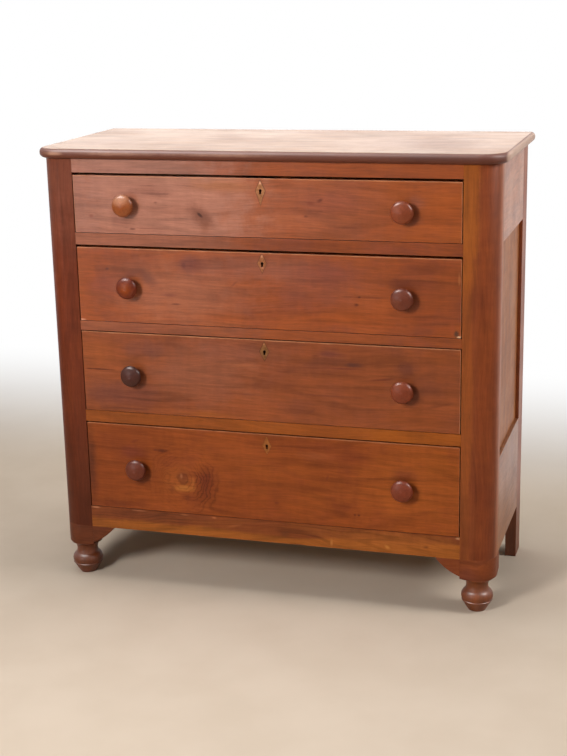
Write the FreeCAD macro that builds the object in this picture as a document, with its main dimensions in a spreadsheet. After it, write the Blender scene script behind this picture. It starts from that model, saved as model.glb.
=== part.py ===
import FreeCAD, Part
import os
import re

import Sketcher

# Chest of four graduated drawers, front facing -Y, standing on the floor at Z = 0.
# The origin lies on the floor under the middle of the whole chest, knobs included.

# Driving dimensions in millimetres. Names that end in share are plain ratios.
sizes = {
    # case
    "opening_width": "880",
    "case_depth": "424",
    "post_width": "76",
    "post_depth": "56",
    "post_radius": "44",
    "post_corner_share": "0.9",
    "foot_height": "81",
    "block_height": "48",
    "block_depth": "76",
    # front rails and drawer openings, from the floor up
    "bottom_rail_height": "52",
    "bottom_drawer_opening": "210",
    "lower_divider_height": "27",
    "third_drawer_opening": "191",
    "middle_divider_height": "22",
    "second_drawer_opening": "176",
    "upper_divider_height": "27",
    "top_drawer_opening": "135",
    "top_rail_height": "31",
    "rail_tenon_length": "24",
    "rail_tenon_shoulder": "5",
    "rail_tenon_setback": "10",
    # top board
    "top_thickness": "22",
    "top_side_overhang": "14",
    "top_front_overhang": "14",
    "top_rear_overhang": "14",
    "top_edge_radius": "10",
    "top_edge_share": "0.47",
    # panelled sides
    "side_thickness": "26",
    "rear_stile_width": "64",
    "side_top_rail_height": "169",
    "side_bottom_rail_height": "225",
    "side_tenon_length": "24",
    "side_tenon_thickness": "10",
    "side_tenon_shoulder": "14",
    "panel_thickness": "8",
    "panel_recess": "8",
    "panel_groove": "8",
    # back boards and their cut nails
    "back_thickness": "12",
    "back_lap": "14",
    "back_gap": "2",
    "nail_shank": "3",
    "nail_length": "30",
    "nail_head_width": "4",
    "nail_head_length": "8",
    "nail_head_height": "1.5",
    # turned front feet
    "foot_inset": "4",
    "foot_pad_radius": "19.5",
    "foot_ring_height": "24.5",
    "foot_ring_radius": "34.8",
    "foot_ring_step": "1.3",
    "foot_bulge_height": "49",
    "foot_bulge_radius": "27.5",
    "foot_flare_radius": "37",
    "foot_flare_band": "2.5",
    "foot_dowel_radius": "12",
    "foot_dowel_grip": "20",
    "foot_bulge_share": "0.4",
    "foot_cove_share": "0.46",
    "foot_shoulder_reach": "24",
    "foot_shoulder_rise": "12",
    "foot_shoulder_share": "0.3",
    "turned_clearance": "0.15",
    # brackets beside the front feet
    "bracket_length": "53",
    "bracket_thickness": "24",
    "bracket_tip": "3",
    "bracket_heel": "7",
    "bracket_sweep_share": "0.13",
    # drawer runners
    "bottom_runner_height": "24",
    "runner_lip": "32",
    "guide_height": "24",
    "tongue_length": "14",
    "tongue_shoulder": "5",
    "tongue_thickness": "9",
    # drawers
    "bottom_drawer_gap": "3",
    "third_drawer_gap": "2.5",
    "second_drawer_gap": "5.5",
    "top_drawer_gap": "5.5",
    "drawer_front_lift": "1.2",
    "drawer_side_gap": "2",
    "drawer_rear_gap": "0.5",
    "drawer_front_thickness": "22",
    "drawer_side_thickness": "13",
    "drawer_back_thickness": "13",
    "drawer_bottom_thickness": "8",
    "drawer_bottom_lift": "8",
    "drawer_groove": "5",
    "dovetail_lap": "7",
    "dovetail_pitch": "44",
    "dovetail_share": "0.62",
    "dovetail_slope_share": "0.17",
    # knobs
    "knob_spacing": "628",
    "top_drawer_knob_drop": "1.7",
    "second_drawer_knob_drop": "4.5",
    "third_drawer_knob_drop": "3.5",
    "bottom_drawer_knob_drop": "1.3",
    "knob_reach": "31",
    "knob_radius": "25",
    "knob_face_radius": "18",
    "knob_crown": "3.6",
    "knob_rim_depth": "8.4",
    "knob_base_radius": "12.5",
    "knob_tenon_radius": "8",
    "knob_rim_share": "0.27",
    "knob_neck_share": "0.34",
    # locks and escutcheons
    "top_drawer_keyhole_drop": "32",
    "second_drawer_keyhole_drop": "29",
    "third_drawer_keyhole_drop": "29",
    "bottom_drawer_keyhole_drop": "30",
    "keyhole_radius": "3.2",
    "keyhole_slot_width": "4.6",
    "keyhole_slot_length": "7.6",
    "escutcheon_half_width": "10.5",
    "escutcheon_rise": "22",
    "escutcheon_drop": "20",
    "top_escutcheon_drop": "30",
    "escutcheon_thickness": "2",
    "escutcheon_stand": "0.4",
    "lock_width": "54",
    "lock_height": "42",
    "lock_thickness": "12",
    "lock_back_plate": "2.5",
    "selvage_length": "66",
    "selvage_depth": "15",
    "selvage_thickness": "2",
    "bolt_width": "18",
    "bolt_thickness": "5",
    "bolt_height": "16",
    "bolt_throw": "9",
    "bolt_clearance": "0.4",
    "bolt_room": "2",
    # every through cut runs past its faces by this much
    "overrun": "5",
}

BACK_BOARDS = 4
NAILS_PER_END = 3

# An arc is told by the rise of its middle over half its chord.
straight = "0"
quarter_turn = "(sqrt(2) - 1)"
crown = "(sqrt(knob_face_radius ^ 2 + knob_crown ^ 2) - knob_face_radius) / knob_crown"

doc = FreeCAD.newDocument("chest_of_drawers")
sheet = doc.addObject("Spreadsheet::Sheet", "Sheet")
for row, (alias, number) in enumerate(sizes.items(), start=1):
    sheet.set("A%d" % row, alias)
    sheet.set("B%d" % row, number)
    sheet.setAlias("B%d" % row, alias)
doc.recompute()

nodes = []

# Planes and levels of the case as formulas of the sizes.
front = "(knob_reach - case_depth - top_rear_overhang) / 2"
case_half = "(opening_width / 2 + post_width)"
side_inner = "(opening_width / 2 + post_width - side_thickness)"
back_inner = front + " + case_depth - back_thickness"
case_bottom = "(foot_height + block_height)"

post_corner = "min(post_radius; post_corner_share * post_depth)"

# Each drawer from the floor up, with the rail under it and the rail over it.
drawers = {
    "bottom_drawer": ("bottom_rail", "lower_divider"),
    "third_drawer": ("lower_divider", "middle_divider"),
    "second_drawer": ("middle_divider", "upper_divider"),
    "top_drawer": ("upper_divider", "top_rail"),
}
floors = {}
rail_bottoms = {"bottom_rail": case_bottom}
level = case_bottom + " + bottom_rail_height"
for drawer_name, (rail_under, rail_over) in drawers.items():
    floors[drawer_name] = level
    rail_bottoms[rail_over] = level + " + " + drawer_name + "_opening"
    level = rail_bottoms[rail_over] + " + " + rail_over + "_height"
case_top = level


def bound(formula):
    return re.sub(r"[a-z][a-z_]+", lambda word: cell_name(word.group()), formula)


def cell_name(word):
    return "Sheet." + word if word in sizes else word


def value(formula):
    return float(sheet.evalExpression(bound(formula)))


def bind(piece, **formulas):
    for name, formula in formulas.items():
        piece.setExpression(name, bound(formula))


def place(piece, x, y, z):
    for axis, formula in zip("xyz", (x, y, z)):
        piece.setExpression("Placement.Base." + axis, bound(formula))


def box(name, length, width, height, corner):
    piece = doc.addObject("Part::Box", name)
    bind(piece, Length=length, Width=width, Height=height)
    place(piece, *corner)
    return piece


def fuse(name, pieces):
    piece = doc.addObject("Part::MultiFuse", name)
    piece.Shapes = pieces
    piece.Refine = True
    return piece


def cut(name, blank, tools):
    piece = blank
    for index, tool in enumerate(tools, start=1):
        last = index == len(tools)
        remainder = doc.addObject("Part::Cut", name if last else "%s_cut_%d" % (name, index))
        remainder.Base = piece
        remainder.Tool = tool
        piece = remainder
    return piece


def mirror(name, source):
    piece = doc.addObject("Part::Mirroring", name)
    piece.Source = source
    piece.Normal = FreeCAD.Vector(1, 0, 0)
    return piece


def group(name, pieces):
    piece = doc.addObject("Part::Compound", name)
    piece.Links = pieces
    return piece


def node(label, piece):
    piece.Label = label
    nodes.append(piece)
    return piece


def sketch_on(body, role):
    plane = [item for item in body.Origin.OriginFeatures if item.Role == role][0]
    sketch = body.newObject("Sketcher::SketchObject", body.Name + "_outline")
    sketch.AttachmentSupport = [(plane, "")]
    sketch.MapMode = "FlatFace"
    return sketch


def hold(sketch, kind, places, formula):
    number = sketch.addConstraint(Sketcher.Constraint(kind, *places, value(formula)))
    sketch.setExpression("Constraints[%d]" % number, bound(formula))


# Closed outline through corners given as (x, y, share): the share bends the
# stretch that follows the corner, to its right when positive.
def draw(sketch, corners):
    points = [FreeCAD.Vector(value(x), value(y), 0) for x, y, share in corners]
    bends = [value(share) for x, y, share in corners]
    ends = [(2, 1) if bend < 0 else (1, 2) for bend in bends]
    for index, bend in enumerate(bends):
        start = points[index]
        end = points[(index + 1) % len(points)]
        chord = end - start
        if bend:
            middle = (start + end) / 2 + FreeCAD.Vector(chord.y, -chord.x, 0) * (bend / 2)
            sketch.addGeometry(Part.Arc(start, middle, end))
        else:
            sketch.addGeometry(Part.LineSegment(start, end))
    for index, (x, y, share) in enumerate(corners):
        after = (index + 1) % len(corners)
        next_x, next_y, next_share = corners[after]
        sketch.addConstraint(Sketcher.Constraint("Coincident", index, ends[index][1], after, ends[after][0]))
        hold(sketch, "DistanceX", (-1, 1, index, ends[index][0]), x)
        hold(sketch, "DistanceY", (-1, 1, index, ends[index][0]), y)
        if bends[index]:
            chord = "sqrt((%s - (%s)) ^ 2 + (%s - (%s)) ^ 2)" % (next_x, x, next_y, y)
            hold(sketch, "Radius", (index,), "%s * (1 + (%s) ^ 2) / (4 * abs(%s))" % (chord, share, share))


def pad(name, role, corners, length, reverse=False):
    body = doc.addObject("PartDesign::Body", name)
    sketch = sketch_on(body, role)
    draw(sketch, corners)
    feature = body.newObject("PartDesign::Pad", name + "_pad")
    feature.Profile = sketch
    feature.Reversed = reverse
    bind(feature, Length=length)
    return body


def turn(name, role, corners):
    body = doc.addObject("PartDesign::Body", name)
    sketch = sketch_on(body, role)
    draw(sketch, corners)
    feature = body.newObject("PartDesign::Revolution", name + "_turning")
    feature.Profile = sketch
    feature.ReferenceAxis = (sketch, ["V_Axis"])
    return body


def cylinder(name, radius, height, corner, along_y=False):
    piece = doc.addObject("Part::Cylinder", name)
    bind(piece, Radius=radius, Height=height)
    place(piece, *corner)
    if along_y:
        piece.Placement.Rotation = FreeCAD.Rotation(FreeCAD.Vector(1, 0, 0), -90)
    return piece


# Plan of a left front post: square but for the rounded outer front corner.
def post_plan(depth):
    return (
        ("-" + case_half, front + " + " + post_corner, quarter_turn),
        ("-" + case_half + " + " + post_corner, front, straight),
        ("-opening_width / 2", front, straight),
        ("-opening_width / 2", front + " + " + depth, straight),
        ("-" + case_half, front + " + " + depth, straight),
    )


# Front rail with a tenon into each post.
def front_rail(name, bottom):
    height = name + "_height"
    beam = box(name + "_beam", "opening_width", "post_depth", height, ("-opening_width / 2", front, bottom))
    tenons = box(
        name + "_tenons",
        "opening_width + 2 * rail_tenon_length",
        "post_depth - 2 * rail_tenon_setback",
        height + " - 2 * rail_tenon_shoulder",
        (
            "-opening_width / 2 - rail_tenon_length",
            front + " + rail_tenon_setback",
            bottom + " + rail_tenon_shoulder",
        ),
    )
    return fuse(name + "_blank", [beam, tenons])


# Left runner: a bed, a guide beside the drawer, and a tongue into the front rail.
def runner(name, bottom, height, guided):
    reach = "(" + side_inner + " - opening_width / 2)"
    length = "case_depth - back_thickness - post_depth"
    rear = front + " + post_depth"
    bed = box(name + "_bed", reach + " + runner_lip", length, height, ("-" + side_inner, rear, bottom))
    tongue = box(
        name + "_tongue",
        "runner_lip - 2 * tongue_shoulder",
        "tongue_length",
        "tongue_thickness",
        (
            "-opening_width / 2 + tongue_shoulder",
            rear + " - tongue_length",
            bottom + " + (" + height + " - tongue_thickness) / 2",
        ),
    )
    pieces = [bed, tongue]
    if guided:
        corner = ("-" + side_inner, rear, bottom + " + " + height)
        pieces.append(box(name + "_guide", reach, length, "guide_height", corner))
    return fuse(name, pieces)


# Rail of a panelled left side, with a tenon into the post and one into the rear stile.
def side_rail(name, bottom):
    height = name + "_height"
    length = "case_depth - post_depth - rear_stile_width"
    beam = box(
        name + "_beam",
        "side_thickness",
        length,
        height,
        ("-" + case_half, front + " + post_depth", bottom),
    )
    tenons = box(
        name + "_tenons",
        "side_tenon_thickness",
        length + " + 2 * side_tenon_length",
        height + " - 2 * side_tenon_shoulder",
        (
            "-" + case_half + " + (side_thickness - side_tenon_thickness) / 2",
            front + " + post_depth - side_tenon_length",
            bottom + " + side_tenon_shoulder",
        ),
    )
    return fuse(name + "_blank", [beam, tenons])


# Cut nails along the left rear stile, three to each end of a back board.
def nail_row():
    pitch = "((%s - %s + back_gap) / %d)" % (case_top, case_bottom, BACK_BOARDS)
    middle = "-" + side_inner + " - back_lap / 2"
    back = front + " + case_depth"
    shanks = []
    nails = []
    for board in range(BACK_BOARDS):
        for place_number in range(NAILS_PER_END):
            share = "(%d + (%d + 0.5) / %d)" % (board, place_number, NAILS_PER_END)
            height = case_bottom + " + " + pitch + " * " + share
            name = "nail_%d_%d" % (board + 1, place_number + 1)
            shank = box(
                name + "_shank",
                "nail_shank",
                "nail_length",
                "nail_shank",
                (middle + " - nail_shank / 2", back + " - nail_length", height + " - nail_shank / 2"),
            )
            head = box(
                name + "_head",
                "nail_head_width",
                "nail_head_height",
                "nail_head_length",
                (middle + " - nail_head_width / 2", back, height + " - nail_head_length / 2"),
            )
            shanks.append(shank)
            nails.append(fuse(name, [shank, head]))
    return group("nail_shanks", shanks), group("left_nails", nails)


def back_board(index, nail_tools):
    pitch = "((%s - %s + back_gap) / %d)" % (case_top, case_bottom, BACK_BOARDS)
    name = "back_board_%d" % (index + 1)
    blank = box(
        name + "_blank",
        "2 * (" + side_inner + " + back_lap)",
        "back_thickness",
        pitch + " - back_gap",
        ("-" + side_inner + " - back_lap", back_inner, case_bottom + " + " + pitch + " * %d" % index),
    )
    return cut(name, blank, nail_tools)


# Turned foot with the dowel that goes up through its block into the post.
def turned_foot(name):
    dowel_top = "foot_height + block_height + foot_dowel_grip"
    foot = turn(
        name,
        "XZ_Plane",
        (
            ("0", "0", straight),
            ("foot_pad_radius", "0", straight),
            ("foot_ring_radius", "foot_ring_height", straight),
            ("foot_ring_radius - foot_ring_step", "foot_ring_height + foot_ring_step", "foot_bulge_share"),
            ("foot_bulge_radius", "foot_bulge_height", "-foot_cove_share"),
            ("foot_flare_radius", "foot_height - foot_flare_band", straight),
            ("foot_flare_radius", "foot_height", straight),
            ("foot_dowel_radius", "foot_height", straight),
            ("foot_dowel_radius", dowel_top, straight),
            ("0", dowel_top, straight),
        ),
    )
    place(foot, *foot_axis, "0")
    return foot


# Waste that the turner takes off the lower corners of a foot block.
def foot_shoulder(name):
    rim = "foot_flare_radius + foot_shoulder_reach"
    waste = turn(
        name,
        "XZ_Plane",
        (
            ("foot_flare_radius", "foot_height", straight),
            (rim, "foot_height", straight),
            (rim, "foot_height + foot_shoulder_rise", "-foot_shoulder_share"),
        ),
    )
    place(waste, *foot_axis, "0")
    return waste


foot_axis = ("-(opening_width + post_width) / 2 + foot_inset", front + " + block_depth / 2")


# Curved ear that carries the line of the foot block out under the bottom rail.
def foot_bracket(name):
    fall = "(block_height - bracket_tip - bracket_heel)"
    inner = "-opening_width / 2"
    tip_bottom = case_bottom + " - bracket_tip"
    bracket = pad(
        name,
        "XZ_Plane",
        (
            (inner, case_bottom, straight),
            (inner + " + bracket_length", case_bottom, straight),
            (inner + " + bracket_length", tip_bottom, "-bracket_sweep_share"),
            (inner, tip_bottom + " - " + fall, straight),
        ),
        "bracket_thickness",
        reverse=True,
    )
    place(bracket, "0", front, "0")
    return bracket


# Top with a rounded edge on its front and ends and round front corners over the posts.
def top_board():
    half = "(" + case_half + " + top_side_overhang)"
    corner = "(" + post_corner + " + top_side_overhang)"
    face = front + " - top_front_overhang"
    rear = front + " + case_depth + top_rear_overhang"
    board = pad(
        "top_board_body",
        "XY_Plane",
        (
            ("-" + half, face + " + " + corner, quarter_turn),
            ("-" + half + " + " + corner, face, straight),
            (half + " - " + corner, face, quarter_turn),
            (half, face + " + " + corner, straight),
            (half, rear, straight),
            ("-" + half, rear, straight),
        ),
        "top_thickness",
    )
    place(board, "0", "0", case_top)
    doc.recompute()
    blank = board.Tip
    middle = blank.Shape.BoundBox.Center.y
    rounded = []
    for number, edge in enumerate(blank.Shape.Edges, start=1):
        start, end = edge.Vertexes
        level_edge = abs(start.Z - end.Z) < edge.Length / 2
        rear_edge = min(start.Y, end.Y) > middle
        if level_edge and not rear_edge:
            rounded.append("Edge%d" % number)
    rounding = board.newObject("PartDesign::Fillet", "top_board_rounding")
    rounding.Base = (blank, rounded)
    bind(rounding, Radius="min(top_edge_radius; top_edge_share * top_thickness)")
    return board


# Dovetails on one end of a left drawer side, spread over a span of its height.
def dovetails(name, count, base, span, start, length, wide_end_first):
    tip = "(%s) * dovetail_share / %d" % (span, 2 * count)
    root = "(%s - (%s) * dovetail_slope_share)" % (tip, length)
    near, far = (tip, root) if wide_end_first else (root, tip)
    tails = []
    for index in range(count):
        tail = doc.addObject("Part::Wedge", "%s_%d" % (name, index + 1))
        bind(tail, Xmin="0", X2min="0", Xmax="drawer_side_thickness", X2max="drawer_side_thickness")
        bind(tail, Ymin="0", Ymax=length)
        bind(tail, Zmin="-" + near, Zmax=near, Z2min="-" + far, Z2max=far)
        place(tail, drawer_left, start, "%s + (%s) * %d / %d" % (base, span, 2 * index + 1, 2 * count))
        tails.append(tail)
    return tails


drawer_left = "-opening_width / 2 + drawer_side_gap"
drawer_depth = "(case_depth - back_thickness - drawer_rear_gap)"


def drawer_side(name, floor, height, bottom_board):
    count = max(2, round(value(height) / value("dovetail_pitch")))
    root = front + " + drawer_front_thickness"
    back_face = front + " + " + drawer_depth + " - drawer_back_thickness"
    under_back = "(drawer_bottom_lift + drawer_bottom_thickness)"
    board = box(
        name + "_board",
        "drawer_side_thickness",
        drawer_depth + " - drawer_front_thickness - drawer_back_thickness",
        height,
        (drawer_left, root, floor),
    )
    heel = box(
        name + "_heel",
        "drawer_side_thickness",
        "drawer_back_thickness",
        under_back,
        (drawer_left, back_face, floor),
    )
    front_tails = dovetails(
        name + "_front_tail",
        count,
        floor,
        height,
        front + " + dovetail_lap",
        "drawer_front_thickness - dovetail_lap",
        True,
    )
    rear_tails = dovetails(
        name + "_rear_tail",
        count,
        floor + " + " + under_back,
        height + " - " + under_back,
        back_face,
        "drawer_back_thickness",
        False,
    )
    blank = fuse(name + "_blank", [board, heel] + front_tails + rear_tails)
    return cut(name + "_left", blank, [bottom_board])


# Mushroom knob with a tenon through the drawer front.
def drawer_knob(name, height):
    rim_edge = "-knob_reach + knob_crown"
    knob = turn(
        name,
        "XY_Plane",
        (
            ("0", "drawer_front_thickness", straight),
            ("0", "-knob_reach", crown),
            ("knob_face_radius", rim_edge, "knob_rim_share"),
            ("knob_radius", rim_edge + " + knob_rim_depth", "-knob_neck_share"),
            ("knob_base_radius", "0", straight),
            ("knob_tenon_radius", "0", straight),
            ("knob_tenon_radius", "drawer_front_thickness", straight),
        ),
    )
    place(knob, "-knob_spacing / 2", front, height)
    return knob


# Round head and slot of a keyhole, from the drawer face into the lock.
def keyhole(name, height):
    depth = "drawer_front_thickness - lock_back_plate + overrun"
    mouth = front + " - overrun"
    head = cylinder(name + "_head", "keyhole_radius", depth, ("0", mouth, height), along_y=True)
    slot = box(
        name + "_slot",
        "keyhole_slot_width",
        depth,
        "keyhole_slot_length",
        ("-keyhole_slot_width / 2", mouth, height + " - keyhole_slot_length"),
    )
    return fuse(name, [head, slot])


def escutcheon(name, height, drop):
    kite = pad(
        name,
        "XZ_Plane",
        (
            ("0", "escutcheon_rise", straight),
            ("-escutcheon_half_width", "0", straight),
            ("0", "-" + drop, straight),
            ("escutcheon_half_width", "0", straight),
        ),
        "escutcheon_thickness",
        reverse=True,
    )
    place(kite, "0", front + " - escutcheon_stand", height)
    return kite


# Half-mortise lock: a case let into the drawer front under a selvage plate.
def lock_case(name, top):
    inner = front + " + drawer_front_thickness"
    case = box(
        name + "_case",
        "lock_width",
        "lock_thickness",
        "lock_height",
        ("-lock_width / 2", inner + " - lock_thickness", top + " - lock_height"),
    )
    selvage = box(
        name + "_selvage",
        "selvage_length",
        "selvage_depth",
        "selvage_thickness",
        ("-selvage_length / 2", inner + " - selvage_depth", top + " - selvage_thickness"),
    )
    return fuse(name + "_blank", [case, selvage])


bolt_front = front + " + drawer_front_thickness - (lock_thickness + bolt_thickness) / 2"


# Block as large as the bolt with room on every side and a given height.
def bolt_space(name, room, bottom, height):
    return box(
        name,
        "bolt_width + 2 * " + room,
        "bolt_thickness + 2 * " + room,
        height,
        ("-bolt_width / 2 - " + room, bolt_front + " - " + room, bottom),
    )


def build_drawer(name):
    floor = floors[name]
    height = "(" + name + "_opening - " + name + "_gap)"
    top = floor + " + " + height
    width = "(opening_width - 2 * drawer_side_gap)"
    back_face = front + " + " + drawer_depth + " - drawer_back_thickness"
    under_back = "(drawer_bottom_lift + drawer_bottom_thickness)"
    tongue = "(drawer_side_thickness - drawer_groove)"

    bottom_board = box(
        name + "_bottom_board",
        width + " - 2 * " + tongue,
        drawer_depth + " - drawer_front_thickness + drawer_groove",
        "drawer_bottom_thickness",
        (
            drawer_left + " + " + tongue,
            front + " + drawer_front_thickness - drawer_groove",
            floor + " + drawer_bottom_lift",
        ),
    )
    left_side = drawer_side(name + "_side", floor, height, bottom_board)
    right_side = mirror(name + "_side_right", left_side)

    knob_height = floor + " + " + name + "_opening / 2 - " + name + "_knob_drop"
    left_knob = drawer_knob(name + "_knob_left", knob_height)
    knobs = [left_knob, mirror(name + "_knob_right", left_knob)]
    left_hole = cylinder(
        name + "_knob_hole",
        "knob_tenon_radius + turned_clearance",
        "drawer_front_thickness + 2 * overrun",
        ("-knob_spacing / 2", front + " - overrun", knob_height),
        along_y=True,
    )
    right_hole = mirror(name + "_knob_hole_right", left_hole)

    keyhole_height = floor + " + " + name + "_opening - " + name + "_keyhole_drop"
    key_space = keyhole(name + "_keyhole", keyhole_height)
    drop = "top_escutcheon_drop" if name == "top_drawer" else "escutcheon_drop"
    kite = escutcheon(name + "_kite", keyhole_height, drop)
    lock_blank = lock_case(name + "_lock", top)
    slot_bottom = top + " - bolt_height - bolt_clearance"
    slot_height = "bolt_height + bolt_clearance + overrun"
    slot = bolt_space(name + "_bolt_slot", "bolt_clearance", slot_bottom, slot_height)
    bolt = box(
        name + "_bolt",
        "bolt_width",
        "bolt_thickness",
        "bolt_height",
        ("-bolt_width / 2", bolt_front, top + " - bolt_height"),
    )

    front_blank = box(
        name + "_front_blank",
        width,
        "drawer_front_thickness",
        height + " - drawer_front_lift",
        (drawer_left, front, floor + " + drawer_front_lift"),
    )
    housed = [left_side, right_side, bottom_board, lock_blank, kite, key_space, left_hole, right_hole]
    back_blank = box(
        name + "_back_blank",
        width,
        "drawer_back_thickness",
        height + " - " + under_back,
        (drawer_left, back_face, floor + " + " + under_back),
    )
    node(name + "_front", cut(name + "_face", front_blank, housed))
    node(name + "_left_side", left_side)
    node(name + "_right_side", right_side)
    node(name + "_back", cut(name + "_back_board", back_blank, [left_side, right_side]))
    node(name + "_bottom", bottom_board)
    node(name + "_knobs", group(name + "_knob_pair", knobs))
    node(name + "_escutcheon", cut(name + "_key_plate", kite, [key_space]))
    node(name + "_lock", cut(name + "_lock_body", lock_blank, [slot, key_space]))
    node(name + "_lock_bolt", bolt)


# Holes for the dowels of the turned feet, through the foot blocks into the posts.
dowel_hole = cylinder(
    "foot_dowel_hole",
    "foot_dowel_radius + turned_clearance",
    "block_height + foot_dowel_grip + turned_clearance",
    (*foot_axis, "foot_height"),
)

# Front rails, the runners behind them and the mortises for the lock bolts.
rail_blanks = {name: front_rail(name, bottom) for name, bottom in rail_bottoms.items()}
left_runners = {}
bolt_mortises = {}
for drawer_name, (rail_under, rail_over) in drawers.items():
    height = rail_under + "_height" if rail_under != "bottom_rail" else "bottom_runner_height"
    bed_bottom = floors[drawer_name] + " - " + height
    left_runners[rail_under] = runner("runner_" + drawer_name, bed_bottom, height, True)
    depth = "bolt_throw - " + drawer_name + "_gap + bolt_room + overrun"
    mouth = rail_bottoms[rail_over] + " - overrun"
    bolt_mortises[rail_over] = bolt_space(rail_over + "_bolt_mortise", "bolt_room", mouth, depth)
left_runners["top_rail"] = runner("kicker", rail_bottoms["top_rail"], "top_rail_height", False)
right_runners = {name: mirror(piece.Name + "_right", piece) for name, piece in left_runners.items()}

for name, blank in rail_blanks.items():
    tools = [left_runners[name], right_runners[name]]
    if name == "bottom_rail":
        tools += [dowel_hole, mirror("foot_dowel_hole_right", dowel_hole)]
    else:
        tools.append(bolt_mortises[name])
    node(name, cut(name + "_piece", blank, tools))

# Panelled sides: rails, panel and rear stile of the left side, then their mirror images.
bottom_rail_blank = side_rail("side_bottom_rail", case_bottom)
top_rail_blank = side_rail("side_top_rail", case_top + " - side_top_rail_height")
panel = box(
    "side_panel",
    "panel_thickness",
    "case_depth - post_depth - rear_stile_width + 2 * panel_groove",
    case_top + " - " + case_bottom + " - side_top_rail_height - side_bottom_rail_height + 2 * panel_groove",
    (
        "-" + case_half + " + panel_recess",
        front + " + post_depth - panel_groove",
        case_bottom + " + side_bottom_rail_height - panel_groove",
    ),
)
nail_shanks, left_nails = nail_row()
right_nail_shanks = mirror("right_nail_shanks", nail_shanks)
stile_blank = box(
    "rear_stile_blank",
    "side_thickness",
    "rear_stile_width",
    case_top,
    ("-" + case_half, front + " + case_depth - rear_stile_width", "0"),
)
rebate = box(
    "rear_stile_rebate",
    "back_lap + overrun",
    "back_thickness + overrun",
    case_top + " - " + case_bottom + " + overrun",
    ("-" + side_inner + " - back_lap", back_inner, case_bottom),
)
stile = cut("rear_stile", stile_blank, [bottom_rail_blank, top_rail_blank, panel, rebate, nail_shanks])

# Front post with mortises for the rails, a groove for the panel and a hole for the foot dowel.
post_blank = pad("front_post_blank", "XY_Plane", post_plan("post_depth"), case_top + " - " + case_bottom)
place(post_blank, "0", "0", case_bottom)
housed_rails = list(rail_blanks.values()) + [bottom_rail_blank, top_rail_blank, panel, dowel_hole]
post = cut("front_post", post_blank, housed_rails)

# Foot block under the post, its turned foot and bracket.
block_blank = pad("foot_block_blank", "XY_Plane", post_plan("block_depth"), "block_height")
place(block_blank, "0", "0", "foot_height")
block = cut("foot_block", block_blank, [dowel_hole, foot_shoulder("foot_shoulder")])
bracket = foot_bracket("foot_bracket")

left_pieces = {
    "front_post": post,
    "rear_stile": stile,
    "side_top_rail": cut("side_top_rail_piece", top_rail_blank, [panel]),
    "side_bottom_rail": cut("side_bottom_rail_piece", bottom_rail_blank, [panel]),
    "side_panel": panel,
    "foot_block": block,
    "turned_foot": turned_foot("turned_foot"),
}
for name, piece in left_pieces.items():
    node("left_" + name, piece)
    node("right_" + name, mirror("right_" + name, piece))
node("foot_brackets", group("bracket_pair", [bracket, mirror("foot_bracket_right", bracket)]))
node("runners_and_kickers", group("runner_set", list(left_runners.values()) + list(right_runners.values())))

# Back boards nailed into the rebates of the rear stiles, and the top.
boards = [back_board(index, [nail_shanks, right_nail_shanks]) for index in range(BACK_BOARDS)]
node("back_boards", group("back_board_set", boards))
node("back_nails", group("nail_set", [left_nails, mirror("right_nails", left_nails)]))
node("top_board", top_board())

for drawer_name in drawers:
    build_drawer(drawer_name)

doc.recompute()
for item in doc.Objects:
    if "Invalid" in item.State or "Error" in item.State:
        raise RuntimeError("%s failed: %s" % (item.Name, item.State))
for piece in nodes:
    if piece.Shape.isNull() or not piece.Shape.isValid() or not piece.Shape.Solids:
        raise RuntimeError("%s has no valid solid" % piece.Label)

os.makedirs("parts", exist_ok=True)
for piece in nodes:
    piece.Shape.exportStep("parts/%s.step" % piece.Label)
print("%d nodes, %d solids" % (len(nodes), sum(len(piece.Shape.Solids) for piece in nodes)))
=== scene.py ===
import math
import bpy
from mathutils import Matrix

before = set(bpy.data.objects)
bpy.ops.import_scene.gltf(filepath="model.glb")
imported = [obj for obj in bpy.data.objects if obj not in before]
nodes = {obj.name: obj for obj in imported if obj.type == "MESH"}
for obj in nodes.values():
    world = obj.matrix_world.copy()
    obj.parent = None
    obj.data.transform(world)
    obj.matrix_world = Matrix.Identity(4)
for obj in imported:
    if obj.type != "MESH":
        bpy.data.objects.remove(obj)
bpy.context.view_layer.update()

from types import SimpleNamespace

import bpy
from mathutils import Matrix, Vector

scene = bpy.context.scene
scene.view_settings.view_transform = "Standard"
print("chest loaded,", len(nodes), "pieces of wood and metal")


def mm(length):  # boards and marks below are given in millimetres
    return length / 1000


def srgb(red, green, blue):  # a colour as the eye reads it, 0 to 255
    def straight(part):
        part = part / 255
        return part / 12.92 if part <= 0.04045 else ((part + 0.055) / 1.055) ** 2.4
    return (straight(red), straight(green), straight(blue), 1.0)


# small helpers for laying out shader nodes
def put(tree, kind, sockets=None, **settings):
    node = tree.nodes.new(kind)
    for key, value in settings.items():
        setattr(node, key, value)
    for key, value in (sockets or {}).items():
        if isinstance(value, bpy.types.NodeSocket):
            tree.links.new(value, node.inputs[key])
        else:
            node.inputs[key].default_value = value
    return node


def calc(tree, operation, *terms):
    return put(tree, "ShaderNodeMath", dict(enumerate(terms)), operation=operation).outputs[0]


def sweep(tree, operation, *terms):
    return put(tree, "ShaderNodeVectorMath", dict(enumerate(terms)), operation=operation)


def fade(tree, value, start, end, low=0.0, high=1.0):  # soft step from low to high
    sockets = {"Value": value, "From Min": start, "From Max": end, "To Min": low, "To Max": high}
    return put(tree, "ShaderNodeMapRange", sockets, interpolation_type="SMOOTHSTEP").outputs[0]


def tint(tree, amount, first, second, how="MIX"):
    node = put(tree, "ShaderNodeMix", {0: amount, 6: first, 7: second}, data_type="RGBA", blend_type=how)
    return node.outputs[2]


def wash(tree, colour, mask, amount, tone):  # lay a tone over a colour where the mask is
    return tint(tree, calc(tree, "MULTIPLY", mask, amount), colour, srgb(*tone))


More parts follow.
